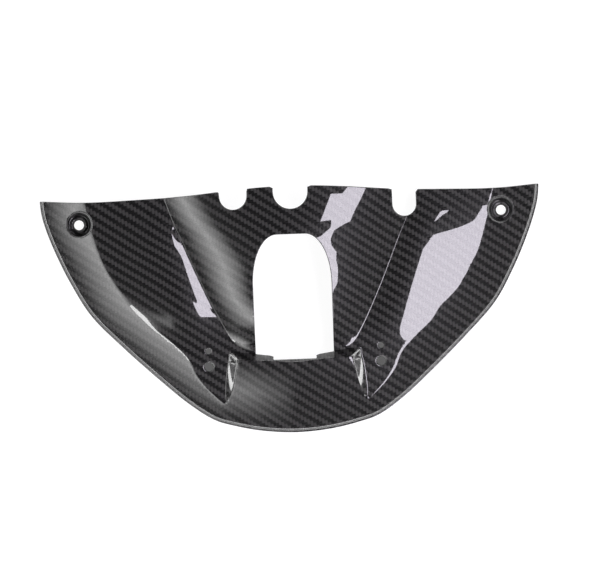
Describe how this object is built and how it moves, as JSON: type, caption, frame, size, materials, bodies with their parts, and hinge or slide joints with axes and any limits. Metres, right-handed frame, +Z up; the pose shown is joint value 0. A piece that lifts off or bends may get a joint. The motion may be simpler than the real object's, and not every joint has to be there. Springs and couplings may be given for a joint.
{
  "type": "motorcycle front spoiler panel",
  "caption": "Half-moon fairing panel moulded from lacquered carbon twill, with a central window, notched mounting edge, bolt wells and a raised chin.",
  "frame": {"origin": "under the centre of the panel's box, on the surface that its rim lies on", "axes": "+X along the straight mounting edge, +Y from the curved rim towards that edge, +Z up out of the glossy outer face"},
  "size_m": [0.3556, 0.1747, 0.0453],
  "materials": {
    "lacquered_carbon": "black 2x2 carbon twill under clear gloss lacquer"
  },
  "bodies": {
    "root": {"spoiler_panel": "lacquered_carbon"}
  },
  "joints": []
}
